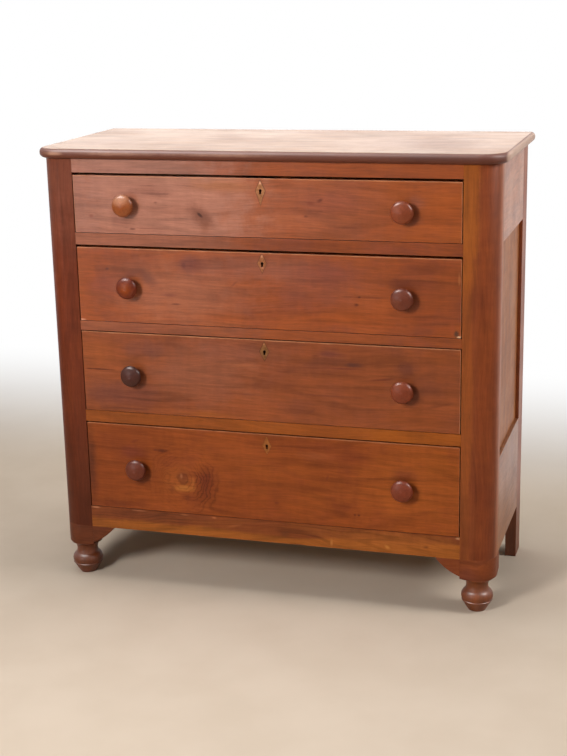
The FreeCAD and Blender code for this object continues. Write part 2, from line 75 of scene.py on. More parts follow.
def layer(tree, spot, stretch, detail, rough, *span):  # one noise, faded from 0 to 1 where it has a span
    place = sweep(tree, "MULTIPLY", spot, stretch).outputs[0]
    sockets = {"Vector": place, "Scale": 1.0, "Detail": detail, "Roughness": rough}
    noise = put(tree, "ShaderNodeTexNoise", sockets).outputs[0]
    return fade(tree, noise, *span) if span else noise


def centred(tree, noise):  # a noise that runs to both sides of zero
    return calc(tree, "SUBTRACT", noise, 0.5)


def blankMaterial(name):
    material = bpy.data.materials.new(name)
    material.use_nodes = True
    material.node_tree.nodes.clear()
    return material


# camera where the picture was taken from: metres, degrees, and millimetres for the lens
photoCamera = {"spot": (0.951, -3.1801, 1.3768), "turn": 16.965, "tilt": 15.355, "roll": -1.283,
               "lens": 69.38, "sensor": 36}
cameraData = bpy.data.cameras.new("photoCamera")
cameraData.lens = photoCamera["lens"]
cameraData.sensor_width = photoCamera["sensor"]
camera = bpy.data.objects.new("photoCamera", cameraData)
scene.collection.objects.link(camera)
camera.matrix_world = (Matrix.Translation(photoCamera["spot"])
                       @ Matrix.Rotation(math.radians(photoCamera["turn"]), 4, "Z")
                       @ Matrix.Rotation(math.radians(90 - photoCamera["tilt"]), 4, "X")
                       @ Matrix.Rotation(math.radians(photoCamera["roll"]), 4, "Z"))
scene.camera = camera
print("camera set")

# soft light: a key at the left front, one overhead and one at the right
# lamps without shade only gloss the varnish, and the key without gloss only shades
lamps = {
    "key": {"spot": (-1.1, -3.0, 1.9), "aim": (0.0, -0.2, 0.6), "size": (0.8, 0.8), "power": 85,
            "colour": (1.0, 0.975, 0.945), "gloss": False},
    "pane": {"spot": (-2.3, -4.2, 0.9), "aim": (0.0, -0.2, 0.9), "size": (1.75, 1.4), "power": 37,
             "colour": (1.0, 0.985, 0.97), "shade": False},
    "skylight": {"spot": (-1.15, -1.05, 2.7), "aim": (-0.1, -0.2, 0.7), "size": (1.5, 1.1), "power": 165,
                 "colour": (1.0, 0.985, 0.97), "shade": False},
    "rightWindow": {"spot": (2.4, -0.3, 2.6), "aim": (0.3, -0.2, 0.7), "size": (0.9, 1.1), "power": 95,
                    "colour": (1.0, 0.985, 0.97), "shade": False},
    "backWall": {"spot": (-0.8, 3.2, 1.55), "aim": (-0.2, 0.0, 1.0), "size": (3.4, 1.1), "power": 33,
                 "colour": (1.0, 0.99, 0.965), "shade": False},
    "upper": {"spot": (-0.2, 0.2, 3.2), "aim": (0.0, 0.0, 1.0), "size": (1.8, 1.4), "power": 52,
              "colour": (1.0, 0.97, 0.93)},
    "side": {"spot": (2.7, -0.15, 2.1), "aim": (0.3, 0.0, 0.6), "size": (0.8, 1.0), "power": 46,
             "colour": (1.0, 0.975, 0.945)},
}
for name, lamp in lamps.items():
    data = bpy.data.lights.new(name, "AREA")
    data.shape = "RECTANGLE"
    data.size, data.size_y = lamp["size"]
    data.energy = lamp["power"]
    data.color = lamp["colour"]
    light = bpy.data.objects.new(name, data)
    scene.collection.objects.link(light)
    light.location = lamp["spot"]
    light.rotation_euler = (Vector(lamp["aim"]) - light.location).to_track_quat("-Z", "Y").to_euler()
    light.visible_camera = False
    light.visible_diffuse = lamp.get("shade", True)
    light.visible_glossy = lamp.get("gloss", True)

# faint light all round, and a backdrop that the camera and the varnish see as white
roomLight = {"ambient": (1.0, 0.985, 0.965, 1.0), "ambientPower": 0.17, "backdrop": (1.0, 1.0, 1.0, 1.0)}
world = bpy.data.worlds.new("studio")
world.use_nodes = True
tree = world.node_tree
tree.nodes.clear()
path = put(tree, "ShaderNodeLightPath")
seen = calc(tree, "MAXIMUM", path.outputs["Is Camera Ray"], path.outputs["Is Glossy Ray"])
ambient = put(tree, "ShaderNodeBackground", {"Color": roomLight["ambient"],
                                             "Strength": roomLight["ambientPower"]})
backdrop = put(tree, "ShaderNodeBackground", {"Color": roomLight["backdrop"], "Strength": 1.0})
sky = put(tree, "ShaderNodeMixShader", {0: seen, 1: ambient.outputs[0], 2: backdrop.outputs[0]})
put(tree, "ShaderNodeOutputWorld", {"Surface": sky.outputs[0]})
scene.world = world
print("lamps and backdrop set")

# pale floor that fades to the white backdrop away from the chest and behind it, in metres
floorLook = {
    "half": 40.0, "drop": 0.0004, "colour": (204, 190, 174), "mottle": (194, 179, 162),
    "mottleNoise": ((5, 5, 5), 3, 0.5), "mottleSpan": (0.3, 0.7, 0.0, 0.5),
    "awayFade": (1.3, 3.4), "backFade": (0.45, 1.9), "mirrorFade": (0.3, 0.9),
}
floorMesh = bpy.data.meshes.new("floor")
half = floorLook["half"]
corners = [(-half, -half, 0), (half, -half, 0), (half, half, 0), (-half, half, 0)]
floorMesh.from_pydata(corners, [], [(0, 1, 2, 3)])
floor = bpy.data.objects.new("floor", floorMesh)
scene.collection.objects.link(floor)
floor.location.z = -floorLook["drop"]
paleFloor = blankMaterial("paleFloor")
tree = paleFloor.node_tree
where = put(tree, "ShaderNodeTexCoord").outputs["Object"]
depth = put(tree, "ShaderNodeSeparateXYZ", {0: where}).outputs[1]
mottle = fade(tree, layer(tree, where, *floorLook["mottleNoise"]), *floorLook["mottleSpan"])
colour = tint(tree, mottle, srgb(*floorLook["colour"]), srgb(*floorLook["mottle"]))
ground = put(tree, "ShaderNodeBsdfDiffuse", {"Color": colour})
white = put(tree, "ShaderNodeEmission", {"Color": roomLight["backdrop"], "Strength": 1.0})
path = put(tree, "ShaderNodeLightPath")
away = fade(tree, sweep(tree, "LENGTH", where).outputs["Value"], *floorLook["awayFade"])
away = calc(tree, "MAXIMUM", away, fade(tree, depth, *floorLook["backFade"]))
amount = calc(tree, "MULTIPLY", path.outputs["Is Camera Ray"], away)
mirrored = calc(tree, "MULTIPLY", path.outputs["Is Glossy Ray"], fade(tree, depth, *floorLook["mirrorFade"]))
amount = calc(tree, "MAXIMUM", amount, mirrored)  # varnish mirrors the floor behind the chest as white
mixed = put(tree, "ShaderNodeMixShader", {0: amount, 1: ground.outputs[0], 2: white.outputs[0]})
put(tree, "ShaderNodeOutputMaterial", {"Surface": mixed.outputs[0]})
floorMesh.materials.append(paleFloor)
print("floor laid")

# a plain varnished board; each board below says where it differs
plainBoard = {
    "wander": 0.05, "lines": 10, "growth": 0.16, "curl": 0.03, "streaks": 0.3, "flecks": 0.2,
    "flush": 0.42, "flushTone": (118, 62, 50), "glow": 0.4, "glowTone": (164, 88, 38),
    # the pale tone of the arrises is wear and painted highlight
    "edgeWearAndHighlight": 0.72, "wornAndLitTone": (198, 134, 96), "polish": 0.3, "ior": 1.33, "relief": 0.3, "uneven": 2.0,
    "knots": (), "figured": (), "patches": (), "stains": (), "arrises": (),
}
plainMark = {"plane": "xz", "ragged": 0.9, "core": 0.1}  # a soft mark on the face of a board

# noises of the grain: stretch along, across and into the board, detail, roughness, and the span that fades
looseNoises = {  # these do not follow the grain
    "ragged": ((34, 34, 34), 5, 0.65),
    "cloud": ((5.0, 8.0, 8.0), 4, 0.6, 0.32, 0.68),
    "flush": ((11, 17, 17), 4, 0.6, 0.42, 0.72),
    "hand": ((16, 16, 16), 2, 0.5),
}
grainNoises = {
    "swell": ((0.9, 8.5, 8.5), 2, 0.45),
    "line": ((15, 230, 230), 4, 0.65),
    "fibre": ((26, 700, 700), 2, 0.6),
    "pore": ((80, 1600, 1600), 1, 0.5, 0.6, 0.74),
    "fleck": ((36, 360, 360), 1, 0.5, 0.74, 0.82),
    "streak": ((2.6, 30, 30), 4, 0.6, 0.45, 0.75),
    "glow": ((6, 19, 19), 3, 0.6, 0.5, 0.78),
    "ripple": ((75, 11, 11), 2, 0.5),
}
driftNoise = ((2.4, 5.5, 5.5), 2, 0.5)  # bends the grain

# what the noises do to every board, and how far they roughen an edge, in parts of its width
woodLook = {
    "cloudShift": (1.7, 0.9, 2.3), "boardShift": (0.73, 0.31, 0.17),  # steps between the seeds of boards
    "fullTurn": 6.283, "growthSpan": (0.1, 1.0), "figureLeast": 0.04,
    "lineShade": (0.25, 0.75, 1.15, 0.85), "fibreShade": (0.2, 0.8, 1.1, 0.9), "rippleSpan": (0.3, 0.7),
    "poreShade": 0.2, "fibreRough": 0.12, "cloudRough": 0.06, "poreDepth": 0.7, "reliefDepth": 0.00025,
    "plateSpan": (1.0, 1.3), "paleArrisDepth": (-201.8, -199.5), "sapWave": 4.0,
}
roughEdge = {"knot": 0.3, "sap": 1 / 1.5, "rim": 0.4, "plate": 0.3, "arris": 1.6}


def patchReach(tree, spot, mark):  # 0 in the middle of a mark, 1 at its rim
    mark = {**plainMark, **mark}
    scale, shift, middles = [0.0] * 3, [0.0] * 3, [0.0] * 3
    for letter, middle, size in zip(mark["plane"], mark["spot"], mark["size"]):
        axis = "xyz".index(letter)
        scale[axis] = 1 / mm(size)
        shift[axis] = -middle / size
        middles[axis] = mm(middle)
    if "lean" in mark:  # degrees that the mark falls towards the right
        turned = {"Vector": spot, "Center": middles, "Angle": math.radians(-mark["lean"])}
        spot = put(tree, "ShaderNodeVectorRotate", turned, rotation_type="Y_AXIS").outputs[0]
    return sweep(tree, "LENGTH", sweep(tree, "MULTIPLY_ADD", spot, scale, shift).outputs[0]).outputs["Value"]


def blot(tree, spot, mark, ragged):  # soft patch on a board, full in its middle
    mark = {**plainMark, **mark}
    roughened = calc(tree, "MULTIPLY_ADD", ragged, mark["ragged"], patchReach(tree, spot, mark))
    return fade(tree, roughened, mark["core"], 1.0, mark["amount"], 0.0)


def layMarks(tree, colour, spot, marks, ragged):
    for mark in marks:
        colour = tint(tree, blot(tree, spot, mark, ragged), colour, srgb(*mark["tone"]))
    return colour


def boardGrain(tree, board):  # the places and noises that a board's colour and finish share
    spot = put(tree, "ShaderNodeTexCoord").outputs["Object"]
    parts = put(tree, "ShaderNodeSeparateXYZ", {0: spot}).outputs
    along, across, deep = [parts["xyz".index(letter)] for letter in board["grain"]]
    cloudSpot = sweep(tree, "ADD", spot, [board["seed"] * shift for shift in woodLook["cloudShift"]]).outputs[0]
    loose = {name: layer(tree, cloudSpot, *noise) for name, noise in looseNoises.items()}
    ragged = loose["ragged"] = centred(tree, loose["ragged"])

    # the board's own lengthways, crossways and depth, the crossways one wandering a little
    places = [calc(tree, "ADD", way, board["seed"] * shift)
              for way, shift in zip((along, across, deep), woodLook["boardShift"])]
    straightSpot = put(tree, "ShaderNodeCombineXYZ", dict(enumerate(places))).outputs[0]
    drift = centred(tree, layer(tree, straightSpot, *driftNoise))
    places[1] = calc(tree, "MULTIPLY_ADD", drift, board["wander"], places[1])
    bentSpot = put(tree, "ShaderNodeCombineXYZ", dict(enumerate(places))).outputs[0]
    bent = {name: layer(tree, bentSpot, *noise) for name, noise in grainNoises.items()}

    # growth lines run level round slow swells of the board, and close into rings round a knot
    swell = calc(tree, "MULTIPLY", bent["swell"], board["lines"])
    for knot in board["knots"]:
        reach = calc(tree, "MULTIPLY_ADD", ragged, roughEdge["knot"], patchReach(tree, spot, knot))
        swell = calc(tree, "ADD", swell, fade(tree, reach, 0.0, 1.0, knot["rings"], 0.0))
    waves = calc(tree, "SINE", calc(tree, "MULTIPLY", swell, woodLook["fullTurn"]))
    growth = fade(tree, waves, *woodLook["growthSpan"])
    figure = calc(tree, "MULTIPLY_ADD", loose["cloud"], board["growth"], woodLook["figureLeast"])
    for mark in board["figured"]:  # where the growth lines show more
        figure = calc(tree, "ADD", figure, blot(tree, spot, mark, ragged))
    return SimpleNamespace(spot=spot, parts=parts, along=along, across=across, drift=drift,
                           growth=growth, figure=figure, **loose, **bent)


def boardColour(tree, board, grain):  # from the broad tone down to single pores and marks
    pale, mid, dark = board["tones"]
    ragged = grain.ragged
    colour = tint(tree, grain.cloud, srgb(*pale), srgb(*mid))
    colour = wash(tree, colour, grain.flush, board["flush"], board["flushTone"])
    colour = wash(tree, colour, grain.glow, board["glow"], board["glowTone"])
    if "sap" in board:  # paler outer wood along one edge of the board
        sap = board["sap"]
        edge = calc(tree, "MULTIPLY_ADD", grain.along, sap["slope"], mm(sap["edge"]))
        edge = calc(tree, "MULTIPLY_ADD", grain.drift, mm(sap["wave"]) * woodLook["sapWave"], edge)
        past = calc(tree, "MULTIPLY", calc(tree, "SUBTRACT", grain.across, edge), sap["side"])
        past = calc(tree, "MULTIPLY_ADD", ragged, mm(sap["soft"]) * roughEdge["sap"], past)
        amount = fade(tree, past, 0.0, mm(sap["soft"]), 0.0, sap["amount"])
        colour = tint(tree, amount, colour, srgb(*sap["tone"]))
    colour = layMarks(tree, colour, grain.spot, board["patches"], ragged)
    colour = wash(tree, colour, grain.streak, board["streaks"], dark)

    # growth lines, fibres, ripple, pores and flecks
    curl = board["curl"]
    shade = calc(tree, "SUBTRACT", 1.0, calc(tree, "MULTIPLY", grain.growth, grain.figure))
    for part in (fade(tree, grain.line, *woodLook["lineShade"]),
                 fade(tree, grain.fibre, *woodLook["fibreShade"]),
                 fade(tree, grain.ripple, *woodLook["rippleSpan"], 1.0 - curl, 1.0 + curl),
                 calc(tree, "MULTIPLY_ADD", grain.pore, -woodLook["poreShade"], 1.0),
                 calc(tree, "MULTIPLY_ADD", grain.fleck, -board["flecks"], 1.0)):
        shade = calc(tree, "MULTIPLY", shade, part)
    grey = put(tree, "ShaderNodeCombineColor", {0: shade, 1: shade, 2: shade}).outputs[0]
    colour = tint(tree, 1.0, colour, grey, "MULTIPLY")

    edgeBand = None
    if "rim" in board:  # the moulded edge of the top has kept its old dark finish, gone dull
        rim = board["rim"]
        low = calc(tree, "MULTIPLY_ADD", ragged, mm(rim["soft"]) * roughEdge["rim"], grain.parts[2])
        edgeBand = fade(tree, low, mm(rim["below"] - rim["soft"]), mm(rim["below"]), 1.0, 0.0)
        # the right end of the edge is painted paler: a painted highlight where the side light falls
        litEnd = fade(tree, grain.parts[0], *[mm(place) for place in rim["end"]])
        oldFinish = tint(tree, litEnd, srgb(*rim["tone"]), srgb(*rim["litEndTone"]))
        colour = tint(tree, calc(tree, "MULTIPLY", edgeBand, rim["amount"]), colour, oldFinish)
    colour = layMarks(tree, colour, grain.spot, board["stains"], ragged)

    if "plate" in board:  # grime round the key plate, following its kite
        plate = board["plate"]
        up = calc(tree, "SUBTRACT", grain.parts[2], mm(plate["spot"]))
        tall = calc(tree, "MAXIMUM", calc(tree, "MULTIPLY", up, 1 / mm(plate["rise"])),
                    calc(tree, "MULTIPLY", up, -1 / mm(plate["drop"])))
        sideways = calc(tree, "ABSOLUTE", grain.parts[0])
        kite = calc(tree, "MULTIPLY_ADD", sideways, 1 / mm(plate["half"]), tall)
        kite = calc(tree, "MULTIPLY_ADD", ragged, roughEdge["plate"], kite)
        amount = fade(tree, kite, *woodLook["plateSpan"], plate["amount"], 0.0)
        colour = tint(tree, amount, colour, srgb(*plate["tone"]))

    # arrises pale at the face only: rubbed where hands and cloths reach, and a painted highlight where light
    # catches the eased edge
    wornAndLitEdge = None
    for letter, edge, width in board["arrises"]:
        near = calc(tree, "ABSOLUTE", calc(tree, "SUBTRACT", grain.parts["xyz".index(letter)], mm(edge)))
        near = calc(tree, "MULTIPLY_ADD", ragged, mm(width) * roughEdge["arris"], near)
        paleArris = fade(tree, near, 0.0, mm(width), 1.0, 0.0)
        wornAndLitEdge = paleArris if wornAndLitEdge is None else calc(tree, "MAXIMUM", wornAndLitEdge, paleArris)
    if wornAndLitEdge is not None:
        atFace = fade(tree, grain.parts[1], *[mm(place) for place in woodLook["paleArrisDepth"]], 1.0, 0.0)
        wornAndLitEdge = calc(tree, "MULTIPLY", wornAndLitEdge, atFace)
        colour = wash(tree, colour, wornAndLitEdge, board["edgeWearAndHighlight"], board["wornAndLitTone"])
    return colour, edgeBand


def finishSurface(tree, colour, rough, height, relief, reliefDepth, ior, metallic=0.0):
    bump = put(tree, "ShaderNodeBump", {"Strength": relief, "Distance": reliefDepth, "Height": height})
    surface = put(tree, "ShaderNodeBsdfPrincipled", {"Base Color": colour, "Roughness": rough, "IOR": ior,
                                                     "Metallic": metallic, "Normal": bump.outputs[0]})
    put(tree, "ShaderNodeOutputMaterial", {"Surface": surface.outputs[0]})


def wood(name, board):
    board = {**plainBoard, **board}
    material = blankMaterial(name)
    tree = material.node_tree
    grain = boardGrain(tree, board)
    colour, edgeBand = boardColour(tree, board, grain)

    # thin old varnish, duller along the fibres and in cloudy places
    fibreRough = woodLook["fibreRough"]
    rough = calc(tree, "MULTIPLY_ADD", grain.fibre, fibreRough, board["polish"] - fibreRough / 2)
    rough = calc(tree, "MULTIPLY_ADD", grain.cloud, woodLook["cloudRough"], rough)
    if edgeBand is not None:
        rough = calc(tree, "MULTIPLY_ADD", edgeBand, board["rim"]["dull"], rough)
    height = calc(tree, "MULTIPLY_ADD", grain.pore, -woodLook["poreDepth"], grain.fibre)
    height = calc(tree, "MULTIPLY_ADD", grain.hand, board["uneven"], height)
    finishSurface(tree, colour, rough, height, board["relief"], woodLook["reliefDepth"], board["ior"])
    return material


def dress(piece, material):
    mesh = nodes[piece].data
    mesh.materials.clear()
    mesh.materials.append(material)


# arrises eased as a plane and years of use leave them: a width for each kind of piece, the corner in degrees
edgeLook = {
    "front": 1.1, "rail": 0.7, "post": 0.7, "side": 0.8, "box": 0.7,
    "weld": 0.02, "segments": 2, "corner": 40,
}


def softenEdges(piece, width):
    weld = nodes[piece].modifiers.new("weld", "WELD")
    weld.merge_threshold = mm(edgeLook["weld"])
    ease = nodes[piece].modifiers.new("easedEdges", "BEVEL")
    ease.width = mm(width)
    ease.segments = edgeLook["segments"]
    ease.limit_method = "ANGLE"
    ease.angle_limit = math.radians(edgeLook["corner"])
    ease.harden_normals = False


# top: one wide cherry board with a dark moulded edge
topBoard = {
    "grain": "xyz", "seed": 1.0, "tones": ((164, 126, 98), (150, 111, 85), (112, 77, 57)),
    "flush": 0.3, "flushTone": (134, 92, 74), "glow": 0.3, "glowTone": (176, 122, 80),
    "growth": 0.14, "streaks": 0.4, "curl": 0.008, "polish": 0.42, "ior": 1.4, "uneven": 0.8, "relief": 0.2,
    "rim": {"below": 1021.92, "soft": 0.7, "amount": 0.95, "tone": (90, 40, 24), "dull": 0.08,
            # the paler right end is a painted highlight
            "end": (523, 528), "litEndTone": (180, 148, 130)},
    "patches": (
        {"spot": (-420, -90), "size": (130, 120), "plane": "xy", "tone": (140, 94, 68), "amount": 0.5},
        {"spot": (330, -40), "size": (260, 200), "plane": "xy", "tone": (136, 90, 64), "amount": 0.6},
    ),
    "stains": (
        # pale streaks along the moulded edge are painted highlight; the dark one darkens its right end
        {"spot": (-475, 1012), "size": (34, 6), "tone": (198, 150, 122), "amount": 0.45},
        {"spot": (-320, 1013), "size": (140, 5), "tone": (190, 142, 116), "amount": 0.32},
        {"spot": (-80, 1013), "size": (160, 5), "tone": (190, 142, 116), "amount": 0.32},
        {"spot": (380, 1012), "size": (170, 14), "tone": (64, 28, 18), "amount": 0.5},
    ),
}
dress("top_board", wood("topCherry", topBoard))

# four drawer fronts, each from its own board, with the marks of its face
topFront = {
    "grain": "xzy", "seed": 2.0, "tones": ((156, 79, 35), (147, 72, 31), (118, 56, 28)),
    "flushTone": (130, 68, 46), "glowTone": (166, 88, 36),
    "arrises": (("z", 963.5, 3.2), ("x", -438, 1.6), ("x", 438, 1.6)),
    "plate": {"spot": 937, "rise": 22, "drop": 30, "half": 10.5, "tone": (86, 48, 28), "amount": 0.8},
    "patches": (
        # the pale pinkish patches at the left and middle are faded wood and painted sheen
        {"spot": (-40, 900), "size": (180, 200), "tone": (158, 92, 64), "amount": 0.5},
        {"spot": (-240, 900), "size": (290, 300), "tone": (167, 111, 91), "amount": 0.9, "core": 0.45,
         "ragged": 0.7},
        {"spot": (-425, 900), "size": (110, 200), "tone": (146, 96, 80), "amount": 0.75},
        {"spot": (150, 900), "size": (190, 150), "tone": (152, 88, 62), "amount": 0.5},
        {"spot": (155, 915), "size": (120, 46), "tone": (132, 68, 50), "amount": 0.5},
        {"spot": (405, 895), "size": (80, 90), "tone": (158, 78, 28), "amount": 0.7},
        {"spot": (-262, 930), "size": (75, 26), "tone": (122, 70, 54), "amount": 0.5},
        {"spot": (-90, 945), "size": (110, 20), "tone": (158, 92, 42), "amount": 0.55},
        {"spot": (-328, 868), "size": (42, 34), "tone": (128, 74, 58), "amount": 0.45},
        # pale patch above the right knob: painted reflection
        {"spot": (340, 916), "size": (26, 24), "tone": (140, 82, 66), "amount": 0.6},
    ),
    "stains": (
        {"spot": (-136, 877), "size": (48, 26), "lean": 38, "tone": (104, 54, 34), "amount": 0.75},
        {"spot": (-128, 850), "size": (20, 22), "tone": (122, 66, 40), "amount": 0.45},
        {"spot": (-140, 881), "size": (11, 4.5), "lean": 40, "tone": (58, 24, 13), "amount": 0.9, "core": 0.3,
         "ragged": 0.6},
        {"spot": (-240, 925), "size": (50, 4), "tone": (100, 56, 44), "amount": 0.6},
        {"spot": (-243, 906), "size": (9, 4), "tone": (96, 52, 42), "amount": 0.6},
        {"spot": (-398, 873), "size": (9, 6), "tone": (120, 56, 40), "amount": 0.5},
        {"spot": (-300, 846), "size": (10, 4), "tone": (92, 48, 38), "amount": 0.7},
        {"spot": (-262, 848), "size": (44, 2.5), "tone": (116, 62, 46), "amount": 0.5},
        {"spot": (133, 919), "size": (10, 5), "lean": -25, "tone": (88, 38, 26), "amount": 0.7},
        {"spot": (112, 912), "size": (13, 6), "tone": (112, 50, 34), "amount": 0.55},
        {"spot": (101, 884), "size": (7, 4), "tone": (88, 42, 30), "amount": 0.65},
        {"spot": (192, 862), "size": (32, 4), "tone": (102, 50, 30), "amount": 0.6},
        # dark halo beside the knob: grime and painted shadow
        {"spot": (328, 888), "size": (34, 30), "tone": (96, 50, 40), "amount": 0.45},
    ),
}
secondFront = {
    "grain": "xzy", "seed": 3.0, "tones": ((153, 76, 33), (134, 63, 26), (98, 44, 26)),
    "flushTone": (112, 56, 44), "glowTone": (158, 82, 32), "growth": 0.2,
    "arrises": (("z", 801.5, 3.0), ("x", 438, 1.6)),
    "plate": {"spot": 778, "rise": 22, "drop": 20, "half": 10.5, "tone": (88, 44, 26), "amount": 0.7},
    "patches": (
        # pale pinkish patch at the left: faded wood and painted sheen
        {"spot": (-190, 700), "size": (240, 130), "tone": (158, 96, 70), "amount": 0.65},
        {"spot": (130, 745), "size": (200, 84), "tone": (134, 74, 56), "amount": 0.5},
        {"spot": (-20, 768), "size": (240, 46), "tone": (142, 85, 68), "amount": 0.5},
        {"spot": (150, 762), "size": (100, 50), "tone": (120, 60, 48), "amount": 0.5},
        {"spot": (-165, 772), "size": (52, 32), "tone": (112, 54, 46), "amount": 0.65},
        {"spot": (-380, 716), "size": (50, 40), "tone": (116, 56, 44), "amount": 0.4},
        {"spot": (180, 664), "size": (150, 28), "tone": (150, 72, 24), "amount": 0.7},
        {"spot": (-80, 652), "size": (100, 18), "tone": (146, 70, 26), "amount": 0.65},
        {"spot": (400, 720), "size": (60, 70), "tone": (136, 66, 26), "amount": 0.6},
        {"spot": (316, 742), "size": (44, 24), "tone": (100, 44, 32), "amount": 0.55},
    ),
    "stains": (
        {"spot": (-272, 736), "size": (46, 19), "lean": 38, "tone": (92, 50, 42), "amount": 0.6},
        {"spot": (-310, 744), "size": (24, 14), "lean": -12, "tone": (104, 54, 44), "amount": 0.5},
        {"spot": (-218, 699), "size": (26, 5), "tone": (110, 50, 42), "amount": 0.5},
        {"spot": (-367, 754), "size": (7, 4.5), "tone": (84, 42, 32), "amount": 0.75},
        {"spot": (-183, 767), "size": (8, 10), "tone": (92, 44, 38), "amount": 0.6},
        {"spot": (-204, 679), "size": (15, 3), "tone": (90, 40, 28), "amount": 0.65},
        {"spot": (-66, 730), "size": (16, 4), "lean": -40, "tone": (108, 50, 34), "amount": 0.55},
        {"spot": (232, 712), "size": (72, 4), "tone": (96, 42, 27), "amount": 0.6},
        {"spot": (217, 712), "size": (6, 4.5), "tone": (74, 34, 25), "amount": 0.8},
        {"spot": (211, 695), "size": (8, 5), "tone": (84, 34, 22), "amount": 0.8},
        # dark halo beside the knob: grime and painted shadow
        {"spot": (326, 705), "size": (36, 34), "tone": (88, 40, 30), "amount": 0.45},
        {"spot": (428, 641), "size": (8, 11), "tone": (58, 46, 38), "amount": 0.8, "core": 0.3},
        {"spot": (420, 650), "size": (9, 20), "tone": (150, 72, 40), "amount": 0.5},
        {"spot": (435, 634), "size": (8, 3.5), "tone": (214, 170, 136), "amount": 0.85, "core": 0.4},
        {"spot": (-433, 634), "size": (10, 3.5), "tone": (206, 140, 110), "amount": 0.8, "core": 0.4},
        {"spot": (433, 758), "size": (4, 18), "tone": (170, 104, 60), "amount": 0.6},
    ),
}
thirdFront = {
    "grain": "xzy", "seed": 4.0, "tones": ((143, 74, 38), (130, 66, 33), (98, 48, 30)),
    "flush": 0.36, "flushTone": (108, 58, 46), "glowTone": (146, 77, 36),
    "growth": 0.2, "streaks": 0.26, "ior": 1.28,
    "arrises": (("z", 606.5, 3.0), ("x", 438, 1.6)),
    "plate": {"spot": 580, "rise": 22, "drop": 20, "half": 10.5, "tone": (78, 40, 24), "amount": 0.75},
    "patches": (
        # pale pinkish patch at the left: faded wood and painted sheen
        {"spot": (-160, 520), "size": (200, 100), "tone": (144, 86, 62), "amount": 0.6},
        {"spot": (-60, 578), "size": (160, 40), "tone": (134, 80, 64), "amount": 0.45},
        {"spot": (-402, 560), "size": (58, 52), "tone": (146, 76, 34), "amount": 0.6},
        {"spot": (-400, 470), "size": (70, 50), "tone": (112, 62, 46), "amount": 0.55},
        {"spot": (-285, 570), "size": (80, 32), "tone": (108, 60, 48), "amount": 0.7},
        {"spot": (-345, 460), "size": (150, 46), "tone": (108, 58, 46), "amount": 0.6},
        {"spot": (-60, 545), "size": (80, 9), "tone": (156, 90, 58), "amount": 0.6},
        {"spot": (-140, 426), "size": (95, 12), "tone": (148, 80, 30), "amount": 0.7},
        {"spot": (150, 582), "size": (46, 9), "tone": (106, 54, 44), "amount": 0.6},
        {"spot": (330, 445), "size": (120, 34), "tone": (132, 66, 26), "amount": 0.6},
        {"spot": (400, 585), "size": (60, 26), "tone": (134, 68, 28), "amount": 0.55},
        {"spot": (322, 558), "size": (38, 26), "tone": (90, 48, 40), "amount": 0.65},
    ),
    "stains": (
        {"spot": (-398, 518), "size": (56, 2.6), "tone": (74, 30, 18), "amount": 0.85, "core": 0.3},
        {"spot": (-395, 509), "size": (44, 5), "tone": (150, 84, 50), "amount": 0.5},
        {"spot": (-330, 428), "size": (90, 5), "tone": (84, 42, 32), "amount": 0.55},
        {"spot": (203, 560), "size": (30, 8), "tone": (78, 42, 35), "amount": 0.75},
        {"spot": (180, 551), "size": (60, 3), "tone": (104, 46, 32), "amount": 0.65},
        {"spot": (268, 531), "size": (44, 4), "lean": -8, "tone": (92, 40, 28), "amount": 0.65},
        {"spot": (150, 487), "size": (130, 4.5), "tone": (96, 48, 32), "amount": 0.55},
        {"spot": (-50, 479), "size": (70, 3.5), "tone": (100, 50, 36), "amount": 0.55},
        {"spot": (117, 577), "size": (14, 3.5), "tone": (90, 42, 28), "amount": 0.6},
        {"spot": (394, 480), "size": (52, 5), "lean": -14, "tone": (100, 48, 28), "amount": 0.5},
        {"spot": (106, 449), "size": (22, 6), "lean": -30, "tone": (104, 52, 34), "amount": 0.5},
        # dark halo beside the knob: grime and painted shadow
        {"spot": (328, 500), "size": (36, 36), "tone": (86, 42, 30), "amount": 0.45},
    ),
}
